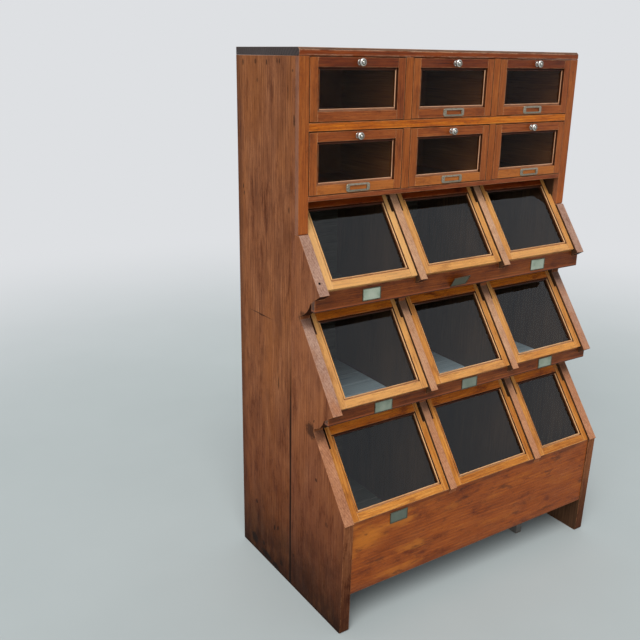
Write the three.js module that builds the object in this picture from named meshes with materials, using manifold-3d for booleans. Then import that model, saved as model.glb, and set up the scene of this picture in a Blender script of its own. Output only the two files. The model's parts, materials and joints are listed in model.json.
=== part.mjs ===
// Haberdashery cabinet: two rows of glass-fronted drawers over three stepped rows of bins
// with sloping glazed lids. Millimetres, +Z up, front towards -Y.
import * as THREE from "three";
import { mergeVertices } from "three/addons/utils/BufferGeometryUtils.js";
import Module from "manifold-3d";

const wasm = await Module();
wasm.setup();

// Heights, from the floor up: the bottom nose, each nose over the next one down, the shelves and
// the drawer rows over those
const bottom_nose_height = 405;
const nose_rises = [356.5, 339.5];
const nose_shelf_rise = 258;
const nose_shelf_thickness = 17;
const lower_drawer_height = 188.7;
const drawer_shelf_thickness = 26;
const upper_drawer_height = 185.3;
const top_thickness = 24;

// Carcase
const body_depth = 382;
const side_thickness = 35;
const divider_thickness = 28;
const column_count = 3;
const first_column_width = 352;
const column_width = 345;
const top_bevel = 7;
const top_undercut = 3;
const fit_gap = 0.3;
const cut_overrun = 5;
const seam_place = 41;
const seam_width = 3;
const back_thickness = 12;
const back_inset = 14;
const back_foot = 60;
const back_board_height = 122;
const board_groove_width = 5;
const board_groove_depth = 2;

// Shelves under the drawers; their front edges are the rails
const shelf_arris = 2;
const housing_depth = 8;
const halving_place = 150;

// Facing strips on the upright front edges of the sides
const stile_thickness = 20;
const stile_drop = 98;
const stile_round = 6;

// Stepped front: how far each nose stands out, and the common slope
const nose_outs = [124, 207, 283.5];
const slope_share = 0.745;
const bracket_depth = 108;
const bracket_step = 10;
const bracket_flat_depth = 50;
const bracket_flat_drop = 32;
const bracket_belly_depth = 64;
const bracket_belly_drop = 68;
const bracket_steps = 6;

// Foot of the side below the last nose
const knee_setback = 4.5;
const knee_drop = 5;
const foot_setback = 9;
const foot_round = 10;
const foot_steps = 4;

// Boards under the lids, and the plinth
const fascia_setback = 27;
const fascia_thickness = 20;
const fascia_drops = [58, 41.5];
const plinth_inset = 3;
const plinth_bottom = 140;
const plinth_least_thickness = 15;
const plinth_notch_drop = 12;

// Bin floors, of narrow boards laid along the cabinet; the upper two slope up to their fascia
const floor_thickness = 16;
const floor_over_fascia = 6;
const floor_dip = 52;
const floor_slope_run = 122;
const floor_housing_setback = 15;
const bottom_floor_rise = 19;
const floor_board_width = 80;
const bottom_bay_widths = [397, 377];
const support_foot_inset = 50;
const support_foot_setback = 108;
const support_foot_depth = 255;

// Lids
const lid_headrooms = [6.5, 33.5, 50.6];
const lid_standoffs = [19, 18, 4];
const lid_thickness = 20;
const lid_recess = 6;
const lid_side_gap = 2;
const lid_seat_gap = 0.5;
const lid_stile = 32;
const lid_bottom_rail = 33;
const lid_top_rail = 36;
const lid_notch_width = 8;
const lid_notch_length = 70;
const pin_radius = 4;
const pin_reach = 12;
const pin_setdown = 14;
const pin_sides = 20;
const pin_clearance = 0.1;
const pin_hole_spare = 3;

// Glazing, shared by lids and drawer fronts
const glazing_bevel = 8;
const glazing_bevel_depth = 5;
const glazing_depth = 10;
const glazing_rebate = 6;
const pane_thickness = 3;

// Drawers
const drawer_front_thickness = 20;
const drawer_front_gap = 2;
const drawer_member = 36;
const drawer_slip = 2.5;
const drawer_run_gap = 0.5;
const drawer_wall = 12;
const drawer_bottom_thickness = 6;
const drawer_bottom_lift = 6;
const drawer_headroom = 22;
const drawer_back_drop = 12;
const drawer_back_space = 19.7;

// Knobs
const knob_radius = 12.5;
const knob_plate_radius = 9;
const knob_plate_thickness = 2;
const knob_neck_radius = 5;
const knob_neck_length = 9;
const knob_crown = 11;
const knob_facets = 16;
const knob_stem_radius = 2.5;
const knob_stem_length = 12;
const knob_stem_clearance = 0.4;
const knob_drop = 14;

// Sizes that follow
const column_widths = Array.from({ length: column_count }, (_, column) =>
  (column === 0 ? first_column_width : column_width));
const column_total = column_widths.reduce((sum, width) => sum + width, 0);
const cabinet_width = 2 * side_thickness + (column_widths.length - 1) * divider_thickness + column_total;
const inner_left = side_thickness;
const inner_right = cabinet_width - side_thickness;
const last_row = nose_outs.length - 1;
const nose_heights = nose_outs.map((_, row) =>
  nose_rises.slice(row).reduce((sum, rise) => sum + rise, bottom_nose_height));
const nose_shelf_bottom = nose_heights[0] + nose_shelf_rise;
const nose_shelf_top = nose_shelf_bottom + nose_shelf_thickness;
const drawer_shelf_bottom = nose_shelf_top + lower_drawer_height;
const drawer_shelf_top = drawer_shelf_bottom + drawer_shelf_thickness;
const body_top = drawer_shelf_top + upper_drawer_height;
const cabinet_height = body_top + top_thickness;
const back_rear = body_depth - back_inset;
const back_front = back_rear - back_thickness;
const stile_foot = nose_shelf_bottom - stile_drop;
const knee_out = nose_outs[last_row] - knee_setback;
const knee_height = nose_heights[last_row] - knee_drop;
const foot_out = knee_out - foot_setback;
const slope_angle = Math.atan(slope_share);
const up_slope = new THREE.Vector2(Math.sin(slope_angle), Math.cos(slope_angle));
const off_slope = new THREE.Vector2(-Math.cos(slope_angle), Math.sin(slope_angle));
const fascia_bottoms = fascia_drops.map((drop, row) => nose_heights[row] - drop);
const floor_bottoms = fascia_bottoms.map((bottom) => bottom + floor_over_fascia - floor_dip);
floor_bottoms.push(plinth_bottom + bottom_floor_rise);
const plinth_back = plinth_least_thickness - foot_out;
const plinth_notch_height = knee_height - plinth_notch_drop;

// Materials
const colours = {
  panel: 0x7d5238,
  facing: 0xa2602c,
  lit_frame: 0xc98a45,
  drawer: 0xa35e2e,
  plinth: 0x86482a,
  inside: 0x5f4330,
  pane: 0x8a9494,
  metal: 0xb9b7b0,
};
const finish = (color, roughness = 0.55, metalness = 0) =>
  new THREE.MeshStandardMaterial({ color, roughness, metalness });
const glass_finish = () =>
  new THREE.MeshStandardMaterial({ color: colours.pane, roughness: 0.08, transparent: true, opacity: 0.35 });

// Solids from three.js geometry, for joining and cutting
function solid_of(geometry) {
  const bare = geometry.clone();
  bare.deleteAttribute("normal");
  bare.deleteAttribute("uv");
  const merged = mergeVertices(bare);
  return new wasm.Manifold(new wasm.Mesh({
    numProp: 3,
    vertProperties: new Float32Array(merged.attributes.position.array),
    triVerts: new Uint32Array(merged.index.array),
  }));
}

function geometry_of(solid) {
  const mesh = solid.getMesh();
  const geometry = new THREE.BufferGeometry();
  geometry.setAttribute("position", new THREE.BufferAttribute(mesh.vertProperties, mesh.numProp));
  geometry.setIndex(new THREE.BufferAttribute(mesh.triVerts, 1));
  geometry.computeVertexNormals();
  return geometry;
}

// A rectangular block between two corners
function block(low, high) {
  const size = high.map((value, axis) => value - low[axis]);
  const geometry = new THREE.BoxGeometry(...size);
  geometry.translate(...high.map((value, axis) => (value + low[axis]) / 2));
  return solid_of(geometry);
}

// A block whose lower face is smaller than its upper face, for the moulding round a pane
function splayed_block(low, high, splay) {
  const geometry = new THREE.BoxGeometry(high[0] - low[0], high[1] - low[1], high[2] - low[2]);
  geometry.translate((low[0] + high[0]) / 2, (low[1] + high[1]) / 2, (low[2] + high[2]) / 2);
  const place = geometry.attributes.position;
  const middle = new THREE.Vector2((low[0] + high[0]) / 2, (low[1] + high[1]) / 2);
  for (let i = 0; i < place.count; i += 1) {
    if (place.getZ(i) < (low[2] + high[2]) / 2) {
      place.setX(i, place.getX(i) + Math.sign(middle.x - place.getX(i)) * splay);
      place.setY(i, place.getY(i) + Math.sign(middle.y - place.getY(i)) * splay);
    }
  }
  return solid_of(geometry);
}

// A board whose outline is drawn in (y, z) and which runs along X
function along_x(shape, from_x, to_x, steps = bracket_steps) {
  const options = { depth: to_x - from_x, bevelEnabled: false, curveSegments: steps };
  const geometry = new THREE.ExtrudeGeometry(shape, options);
  const turn = new THREE.Matrix4().makeBasis(
    new THREE.Vector3(0, 1, 0), new THREE.Vector3(0, 0, 1), new THREE.Vector3(1, 0, 0));
  geometry.applyMatrix4(turn);
  geometry.translate(from_x, 0, 0);
  return solid_of(geometry);
}

function shape_of(points) {
  return new THREE.Shape(points.map(([y, z]) => new THREE.Vector2(y, z)));
}

// A round pin or hole along X
function rod_along_x(radius, from_x, to_x, y, z) {
  const geometry = new THREE.CylinderGeometry(radius, radius, to_x - from_x, pin_sides);
  geometry.rotateZ(Math.PI / 2);
  geometry.translate((from_x + to_x) / 2, y, z);
  return solid_of(geometry);
}

// The stepped front
const nose_y = (row) => -nose_outs[row];
const slope_z = (row, y) => nose_heights[row] + (y - nose_y(row)) / slope_share;
const slope_y = (row, z) => nose_y(row) + (z - nose_heights[row]) * slope_share;
const recess_y = (row) => nose_y(row) + bracket_depth;
const underside_z = (row, y) =>
  nose_heights[row] - (y - nose_y(row)) * bracket_flat_drop / bracket_flat_depth;

// From the slope below a nose, up round the bracket under it and out to its tip
function climb_to_nose(path, row) {
  const slope_end = slope_z(row + 1, recess_y(row));
  path.lineTo(recess_y(row), slope_end);
  path.lineTo(recess_y(row), slope_end + bracket_step);
  path.quadraticCurveTo(
    nose_y(row) + bracket_belly_depth, nose_heights[row] - bracket_belly_drop,
    nose_y(row) + bracket_flat_depth, nose_heights[row] - bracket_flat_drop);
  path.lineTo(nose_y(row), nose_heights[row]);
}

// Where a lid lies: its lower outer edge, and the axis of its pins
function lid_foot(row) {
  return new THREE.Vector2(nose_y(row), nose_heights[row])
    .addScaledVector(up_slope, lid_standoffs[row])
    .addScaledVector(off_slope, -lid_recess);
}

// A lid reaches up to its headroom under the shelf or the fascia above it
function lid_length(row) {
  const ceiling = row === 0 ? nose_shelf_bottom : fascia_bottoms[row - 1];
  return (ceiling - lid_headrooms[row] - lid_foot(row).y) / up_slope.y;
}

function pin_centre(row) {
  return lid_foot(row)
    .addScaledVector(up_slope, lid_length(row) - pin_setdown)
    .addScaledVector(off_slope, -lid_thickness / 2);
}

// Columns: left edge and width of each bay
function bays_from(widths) {
  let left = inner_left;
  return widths.map((width) => {
    const bay = { left, right: left + width, width };
    left += width + divider_thickness;
    return bay;
  });
}
const columns = bays_from(column_widths);
const bottom_used = bottom_bay_widths.reduce((sum, width) => sum + width + divider_thickness, 0);
const bottom_bays = bays_from([...bottom_bay_widths, inner_right - inner_left - bottom_used]);
const bays_of_row = (row) => (row === last_row ? bottom_bays : columns);

function fascia_front(row) {
  return nose_y(row) + fascia_setback;
}

// Where the slope of a bin floor ends, and points along a level over its underside
const floor_front = (row) => fascia_front(row) + fascia_thickness + fit_gap;
const floor_bend = (row) => floor_front(row) + floor_slope_run;
function floor_line(row, rise, from_y) {
  const flat = floor_bottoms[row] + rise;
  const share = (floor_bend(row) - from_y) / floor_slope_run;
  return [[from_y, flat + floor_dip * share], [floor_bend(row), flat]];
}

// Housings: a groove in each side for the end of every shelf and floor
const shelf_levels = [
  { bottom: drawer_shelf_bottom, top: drawer_shelf_top, front: stile_thickness },
  { bottom: nose_shelf_bottom, top: nose_shelf_top, front: stile_thickness },
  {
    bottom: floor_bottoms[0],
    top: floor_bottoms[0] + floor_thickness,
    front: floor_bend(0) + floor_housing_setback,
  },
  {
    bottom: floor_bottoms[1],
    top: floor_bottoms[1] + floor_thickness,
    front: floor_bend(1) + floor_housing_setback,
  },
  { bottom: floor_bottoms[2], top: floor_bottoms[2] + floor_thickness, front: plinth_back },
];

function side_panel(left_edge, inner_face) {
  const path = new THREE.Shape();
  path.moveTo(body_depth, 0);
  path.lineTo(-foot_out + foot_round, 0);
  path.quadraticCurveTo(-foot_out, 0, -foot_out, foot_round);
  path.lineTo(-knee_out, knee_height);
  path.lineTo(nose_y(last_row), nose_heights[last_row]);
  for (let row = last_row - 1; row >= 0; row -= 1) {
    climb_to_nose(path, row);
  }
  path.lineTo(slope_y(0, stile_foot), stile_foot);
  path.lineTo(stile_thickness + fit_gap, stile_foot);
  path.lineTo(stile_thickness + fit_gap, body_top - fit_gap);
  path.lineTo(body_depth, body_top - fit_gap);
  let panel = along_x(path, left_edge, left_edge + side_thickness, foot_steps);
  const inward = inner_face > left_edge ? -1 : 1;
  const deep = inner_face + inward * housing_depth;
  const proud = inner_face - inward * cut_overrun;
  const [low_x, high_x] = [Math.min(deep, proud), Math.max(deep, proud)];
  for (const level of shelf_levels) {
    panel = panel.subtract(block(
      [low_x, level.front - fit_gap, level.bottom - fit_gap],
      [high_x, body_depth + cut_overrun, level.top + fit_gap]));
  }
  for (let row = 0; row <= last_row; row += 1) {
    const centre = pin_centre(row);
    const end = inner_face + inward * (pin_reach + pin_hole_spare);
    panel = panel.subtract(rod_along_x(pin_radius + pin_clearance,
      Math.min(end, proud), Math.max(end, proud), centre.x, centre.y));
  }
  const outer_face = inward < 0 ? left_edge : left_edge + side_thickness;
  const seam = shape_of([[seam_place - seam_width / 2, 0], [seam_place + seam_width / 2, 0],
    [seam_place, seam_width / 2]]);
  const groove = new THREE.ExtrudeGeometry(seam, { depth: cabinet_height, bevelEnabled: false });
  const facing = inward < 0 ? 1 : -1;
  groove.applyMatrix4(new THREE.Matrix4().makeBasis(
    new THREE.Vector3(0, 1, 0), new THREE.Vector3(facing, 0, 0), new THREE.Vector3(0, 0, -facing)));
  groove.translate(outer_face, 0, facing > 0 ? cabinet_height : 0);
  return panel.subtract(solid_of(groove));
}

// Rounded facing strip
function stile(left_edge) {
  const path = new THREE.Shape();
  path.moveTo(stile_thickness, stile_foot + fit_gap);
  path.lineTo(stile_thickness, body_top - fit_gap);
  path.lineTo(0, body_top - fit_gap);
  path.lineTo(0, stile_foot + fit_gap + stile_round);
  path.quadraticCurveTo(0, stile_foot + fit_gap, stile_round, stile_foot + fit_gap);
  return along_x(path, left_edge, left_edge + side_thickness, foot_steps);
}

function top_board() {
  return along_x(shape_of([
    [body_depth, body_top], [body_depth, cabinet_height], [top_bevel, cabinet_height],
    [0, cabinet_height - top_bevel], [0, body_top + top_undercut], [top_undercut, body_top],
  ]), 0, cabinet_width);
}

// Both faces of the back show the joints of its boards
function back_panel() {
  const low = back_foot;
  const high = body_top - fit_gap;
  const count = Math.floor((high - low) / back_board_height);
  const grooved = (y, inward) => {
    const points = [];
    for (let i = 1; i <= count; i += 1) {
      const z = low + i * back_board_height;
      points.push([y, z - board_groove_width / 2]);
      points.push([y + inward * board_groove_depth, z]);
      points.push([y, z + board_groove_width / 2]);
    }
    return points;
  };
  const front = grooved(back_front, 1);
  const rear = grooved(back_rear, -1).reverse();
  return along_x(shape_of([
    [back_front, low], ...front, [back_front, high], [back_rear, high], ...rear, [back_rear, low],
  ]), inner_left + fit_gap, inner_right - fit_gap);
}

// A shelf: tongues in the side housings, notches from the back over the dividers
function shelf(section, level, dividers) {
  let board = along_x(section, inner_left + fit_gap, inner_right - fit_gap);
  const tongue_back = back_front - fit_gap;
  for (const [low_x, high_x] of [
    [inner_left - housing_depth + fit_gap, inner_left + cut_overrun],
    [inner_right - cut_overrun, inner_right + housing_depth - fit_gap]]) {
    board = board.add(block([low_x, level.front, level.bottom], [high_x, tongue_back, level.top]));
  }
  for (const left of dividers) {
    board = board.subtract(block(
      [left - fit_gap, halving_place, level.bottom - cut_overrun],
      [left + divider_thickness + fit_gap, body_depth, level.top + cut_overrun]));
  }
  return board;
}

const divider_lefts = columns.slice(1).map((bay) => bay.left - divider_thickness);
const bottom_divider_lefts = bottom_bays.slice(1).map((bay) => bay.left - divider_thickness);

function plain_shelf(level) {
  const back = back_front - fit_gap;
  return shelf(shape_of([
    [back, level.bottom], [back, level.top], [shelf_arris, level.top], [0, level.top - shelf_arris],
    [0, level.bottom + shelf_arris], [shelf_arris, level.bottom],
  ]), level, divider_lefts);
}

// A bin floor shows the joints of its narrow boards on top
function bin_floor(row) {
  const level = shelf_levels[2 + row];
  const flat = row === last_row;
  const front = flat ? plinth_back + fit_gap : floor_bend(row);
  const back = back_front - fit_gap;
  const underside = flat ? [[front, level.bottom]] : floor_line(row, 0, floor_front(row));
  const points = [...underside, [back, level.bottom], [back, level.top]];
  const count = Math.floor((back - front) / floor_board_width);
  for (let i = 1; i <= count; i += 1) {
    const y = back - i * floor_board_width;
    if (y - board_groove_width > front) {
      points.push([y + board_groove_width / 2, level.top]);
      points.push([y, level.top - board_groove_depth]);
      points.push([y - board_groove_width / 2, level.top]);
    }
  }
  const upper_side = flat ? [[front, level.top]]
    : floor_line(row, floor_thickness, floor_front(row)).reverse();
  points.push(...upper_side);
  const crossed = row === 0 ? divider_lefts : [];
  let board = shelf(shape_of(points), level, crossed);
  if (row === last_row) {
    const foot_left = bottom_bays[last_row].left + support_foot_inset;
    const foot_front = support_foot_setback - foot_out;
    board = board.add(block(
      [foot_left, foot_front, 0],
      [foot_left + divider_thickness, foot_front + support_foot_depth,
        level.bottom + floor_thickness / 2]));
  }
  return board;
}

// Full partition between two columns, from the top board to the second bin floor
function divider(left) {
  const fascia_back = floor_front(1);
  const foot = floor_line(1, floor_thickness + fit_gap, fascia_back).reverse();
  const back = back_front - fit_gap;
  const path = new THREE.Shape();
  path.moveTo(back, foot[0][1]);
  foot.forEach(([y, z]) => path.lineTo(y, z));
  path.lineTo(fascia_back, underside_z(1, fascia_back));
  path.lineTo(nose_y(1), nose_heights[1]);
  climb_to_nose(path, 0);
  path.lineTo(slope_y(0, nose_shelf_bottom), nose_shelf_bottom);
  path.lineTo(0, nose_shelf_bottom);
  path.lineTo(0, body_top - fit_gap);
  path.lineTo(back, body_top - fit_gap);
  let panel = along_x(path, left, left + divider_thickness);
  for (const level of shelf_levels.slice(0, 2)) {
    panel = panel.subtract(block(
      [left - cut_overrun, nose_y(0), level.bottom - fit_gap],
      [left + divider_thickness + cut_overrun, halving_place + fit_gap, level.top + fit_gap]));
  }
  const [slot_end, slot_low, slot_high] = [
    halving_place + fit_gap, floor_bottoms[0] - fit_gap, floor_bottoms[0] + floor_thickness + fit_gap];
  const slot = shape_of([
    ...floor_line(0, -fit_gap, floor_front(0)), [slot_end, slot_low], [slot_end, slot_high],
    ...floor_line(0, floor_thickness + fit_gap, floor_front(0)).reverse(),
  ]);
  panel = panel.subtract(along_x(slot, left - cut_overrun, left + divider_thickness + cut_overrun));
  return with_pin_holes(panel, left, [0, 1]);
}

// Partition of the bottom row, between its two floors
function bottom_divider(left) {
  const low = shelf_levels[4].top + fit_gap;
  const underside = floor_line(1, -fit_gap, recess_y(1));
  const back = back_front - fit_gap;
  const behind_plinth = plinth_back + fit_gap;
  const outline = shape_of([
    [back, low], [behind_plinth, low], [behind_plinth, plinth_notch_height],
    [plinth_front(plinth_notch_height), plinth_notch_height], [-knee_out, knee_height],
    [nose_y(last_row), nose_heights[last_row]],
    [recess_y(1), slope_z(last_row, recess_y(1))], ...underside, [back, underside[1][1]],
  ]);
  return with_pin_holes(along_x(outline, left, left + divider_thickness), left, [last_row]);
}

function with_pin_holes(panel, left, rows) {
  let bored = panel;
  for (const row of rows) {
    const centre = pin_centre(row);
    bored = bored.subtract(rod_along_x(pin_radius + pin_clearance,
      left - cut_overrun, left + divider_thickness + cut_overrun, centre.x, centre.y));
  }
  return bored;
}

// Top edge of the board that a lid closes on, from its front to its back
function lid_seat(row, front, back) {
  const outer = lid_foot(row).addScaledVector(up_slope, -lid_seat_gap);
  const inner = outer.clone().addScaledVector(off_slope, -lid_thickness);
  const points = [];
  if (front < outer.x) {
    points.push([front, outer.y], [outer.x, outer.y]);
  } else {
    points.push([front, outer.y - (front - outer.x) * slope_share]);
  }
  points.push([inner.x, inner.y], [back, inner.y]);
  return points;
}

// Board under the lids, full width; the noses of sides and dividers are let into its top
function fascia(row) {
  const front = fascia_front(row);
  const back = front + fascia_thickness;
  const bottom = fascia_bottoms[row];
  const board = along_x(shape_of([
    [back, bottom], [front, bottom], ...lid_seat(row, front, back),
  ]), 0, cabinet_width);
  const [near, far] = [front - cut_overrun, back + cut_overrun];
  const above = nose_heights[row] + bracket_depth;
  const let_in = shape_of([
    [near, underside_z(row, near) - fit_gap], [far, underside_z(row, far) - fit_gap],
    [far, above], [near, above],
  ]);
  let notched = board
    .subtract(along_x(let_in, -cut_overrun, inner_left + fit_gap))
    .subtract(along_x(let_in, inner_right - fit_gap, cabinet_width + cut_overrun));
  for (const left of divider_lefts) {
    notched = notched.subtract(along_x(let_in, left - fit_gap, left + divider_thickness + fit_gap));
  }
  return notched;
}

// The plinth leans like the front of the sides
function plinth_front(z) {
  return -foot_out - (knee_out - foot_out) * z / knee_height + plinth_inset;
}

function plinth() {
  const seat_front = plinth_front(nose_heights[last_row]);
  let board = along_x(shape_of([
    [plinth_back, plinth_bottom], [plinth_front(plinth_bottom), plinth_bottom],
    ...lid_seat(last_row, seat_front, plinth_back),
  ]), inner_left + fit_gap, inner_right - fit_gap);
  for (const left of bottom_divider_lefts) {
    board = board.subtract(block(
      [left - fit_gap, nose_y(last_row), plinth_notch_height - fit_gap],
      [left + divider_thickness + fit_gap, 0, cabinet_height]));
  }
  return board;
}

// A glazed frame, drawn flat: x across, y up from its lower edge, z out of its face
function glazed_frame({ width, length, stile_width, bottom_rail, top_rail, thickness }) {
  const half = width / 2;
  const sight = {
    left: -half + stile_width, right: half - stile_width, low: bottom_rail, high: length - top_rail,
  };
  return block([-half, 0, -thickness], [half, length, 0])
    .subtract(block(
      [sight.left, sight.low, -thickness - cut_overrun], [sight.right, sight.high, cut_overrun]))
    .subtract(splayed_block(
      [sight.left - glazing_bevel, sight.low - glazing_bevel, -glazing_bevel_depth],
      [sight.right + glazing_bevel, sight.high + glazing_bevel, 0], glazing_bevel))
    .subtract(block(
      [sight.left - glazing_rebate, sight.low - glazing_rebate, -thickness - cut_overrun],
      [sight.right + glazing_rebate, sight.high + glazing_rebate, -glazing_depth]));
}

function pane({ width, length, stile_width, bottom_rail, top_rail }) {
  const reach = glazing_rebate - fit_gap;
  const half = width / 2 - stile_width + reach;
  const face = -glazing_depth - fit_gap;
  return block(
    [-half, bottom_rail - reach, face - pane_thickness], [half, length - top_rail + reach, face]);
}

// A lid: its upper corners are notched, and a pin in each notch enters the partition
function lid_sizes(row, bay) {
  return {
    width: bay.width - 2 * lid_side_gap,
    length: lid_length(row),
    stile_width: lid_stile,
    bottom_rail: lid_bottom_rail,
    top_rail: lid_top_rail,
    thickness: lid_thickness,
  };
}

function lid_frame(sizes) {
  const half = sizes.width / 2;
  const notch_foot = sizes.length - lid_notch_length;
  let frame = glazed_frame(sizes);
  for (const way of [-1, 1]) {
    const [a, b] = [way * (half - lid_notch_width), way * (half + cut_overrun)];
    frame = frame.subtract(block(
      [Math.min(a, b), notch_foot, -sizes.thickness - cut_overrun],
      [Math.max(a, b), sizes.length + cut_overrun, cut_overrun]));
    const [root, end] = [way * (half - lid_stile / 2), way * (half + lid_side_gap + pin_reach)];
    frame = frame.add(rod_along_x(pin_radius, Math.min(root, end), Math.max(root, end),
      sizes.length - pin_setdown, -sizes.thickness / 2));
  }
  return frame;
}

// Drawers
const drawer_levels = [
  { low: drawer_shelf_top, high: body_top },
  { low: nose_shelf_top, high: drawer_shelf_bottom },
];

function front_sizes(level, bay) {
  return {
    width: bay.width - 2 * drawer_front_gap,
    length: level.high - level.low - 2 * drawer_front_gap,
    stile_width: drawer_member,
    bottom_rail: drawer_member,
    top_rail: drawer_member,
    thickness: drawer_front_thickness,
  };
}

function drawer_front(sizes) {
  const bore = new THREE.CylinderGeometry(
    knob_stem_radius + knob_stem_clearance, knob_stem_radius + knob_stem_clearance,
    2 * (knob_stem_length + knob_stem_clearance), pin_sides);
  bore.rotateX(Math.PI / 2);
  bore.translate(0, sizes.length - knob_drop, 0);
  return glazed_frame(sizes).subtract(solid_of(bore));
}

function drawer_box(level, bay) {
  const front = drawer_front_thickness + fit_gap;
  const back = back_front - drawer_back_space;
  const low = [bay.left + drawer_slip, front, level.low + drawer_run_gap];
  const high = [bay.right - drawer_slip, back, level.high - drawer_headroom];
  const floor_top = low[2] + drawer_bottom_lift + drawer_bottom_thickness;
  return block(low, high)
    .subtract(block(
      [low[0] + drawer_wall, front + drawer_wall, floor_top],
      [high[0] - drawer_wall, back - drawer_wall, high[2] + cut_overrun]))
    .subtract(block(
      [low[0] + drawer_wall, front + drawer_wall, low[2] - cut_overrun],
      [high[0] - drawer_wall, back + cut_overrun, low[2] + drawer_bottom_lift]))
    .subtract(block(
      [low[0] + drawer_wall, front - cut_overrun, floor_top],
      [high[0] - drawer_wall, front + drawer_wall + cut_overrun, high[2] + cut_overrun]))
    .subtract(block(
      [low[0] + drawer_wall, back - drawer_wall - cut_overrun, high[2] - drawer_back_drop],
      [high[0] - drawer_wall, back + cut_overrun, high[2] + cut_overrun]));
}

// A turned knob with its plate, neck and stem, drawn along its own axis
function knob() {
  const plate = fit_gap + knob_plate_thickness;
  const rim = plate + knob_neck_length;
  const points = [
    [0, -knob_stem_length], [knob_stem_radius, -knob_stem_length], [knob_stem_radius, fit_gap],
    [knob_plate_radius, fit_gap], [knob_plate_radius, plate], [knob_neck_radius, plate],
    [knob_neck_radius, (plate + rim) / 2], [knob_radius, rim], [knob_radius, rim + knob_crown / 2],
    [knob_plate_radius, rim + knob_crown], [0, rim + knob_crown],
  ];
  const profile = points.map(([radius, along]) => new THREE.Vector2(radius, along));
  const geometry = new THREE.LatheGeometry(profile, knob_facets);
  geometry.rotateX(Math.PI / 2);
  return solid_of(geometry);
}

// Assembly
const cabinet = new THREE.Group();
const depth_middle = (body_depth - nose_outs[last_row]) / 2;
cabinet.position.set(-cabinet_width / 2, -depth_middle, 0);

function place(parent, name, solid, material) {
  const mesh = new THREE.Mesh(geometry_of(solid), material);
  mesh.name = name;
  parent.add(mesh);
}

place(cabinet, "side_left", side_panel(0, inner_left), finish(colours.panel));
place(cabinet, "side_right", side_panel(inner_right, inner_right), finish(colours.panel));
place(cabinet, "stile_left", stile(0), finish(colours.facing));
place(cabinet, "stile_right", stile(inner_right), finish(colours.facing));
place(cabinet, "top_board", top_board(), finish(colours.panel));
place(cabinet, "back_panel", back_panel(), finish(colours.inside));
place(cabinet, "drawer_shelf", plain_shelf(shelf_levels[0]), finish(colours.facing));
place(cabinet, "nose_shelf", plain_shelf(shelf_levels[1]), finish(colours.facing));
divider_lefts.forEach((left, i) => {
  place(cabinet, `divider_${i + 1}`, divider(left), finish(colours.facing));
});
bottom_divider_lefts.forEach((left, i) => {
  place(cabinet, `bin_divider_${i + 1}`, bottom_divider(left), finish(colours.facing));
});
nose_outs.forEach((_, row) => {
  place(cabinet, `bin_floor_${row + 1}`, bin_floor(row), finish(colours.inside));
});
fascia_bottoms.forEach((_, row) => {
  place(cabinet, `fascia_${row + 1}`, fascia(row), finish(colours.plinth));
});
place(cabinet, "plinth", plinth(), finish(colours.plinth));

// Drawers of each row and column
drawer_levels.forEach((level, row) => {
  columns.forEach((bay, column) => {
    const label = `r${row + 1}c${column + 1}`;
    place(cabinet, `drawer_box_${label}`, drawer_box(level, bay), finish(colours.inside));
    const sizes = front_sizes(level, bay);
    const face = new THREE.Group();
    face.position.set((bay.left + bay.right) / 2, 0, level.low + drawer_front_gap);
    face.rotation.x = Math.PI / 2;
    cabinet.add(face);
    place(face, `drawer_front_${label}`, drawer_front(sizes), finish(colours.drawer));
    place(face, `drawer_pane_${label}`, pane(sizes), glass_finish());
    const pull = new THREE.Group();
    pull.position.set(0, sizes.length - knob_drop, 0);
    face.add(pull);
    place(pull, `drawer_knob_${label}`, knob(), finish(colours.metal, 0.25, 1));
  });
});

// Lids of each bin row and bay
nose_outs.forEach((_, row) => {
  bays_of_row(row).forEach((bay, column) => {
    const label = `r${row + 1}c${column + 1}`;
    const sizes = lid_sizes(row, bay);
    const foot = lid_foot(row);
    const lid = new THREE.Group();
    lid.position.set((bay.left + bay.right) / 2, foot.x, foot.y);
    lid.rotation.x = Math.PI / 2 - slope_angle;
    cabinet.add(lid);
    place(lid, `lid_frame_${label}`, lid_frame(sizes), finish(colours.lit_frame));
    place(lid, `lid_pane_${label}`, pane(sizes), glass_finish());
  });
});

export default cabinet;
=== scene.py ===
import json
import math

import bmesh
import bpy
from mathutils import Matrix, Vector

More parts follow.
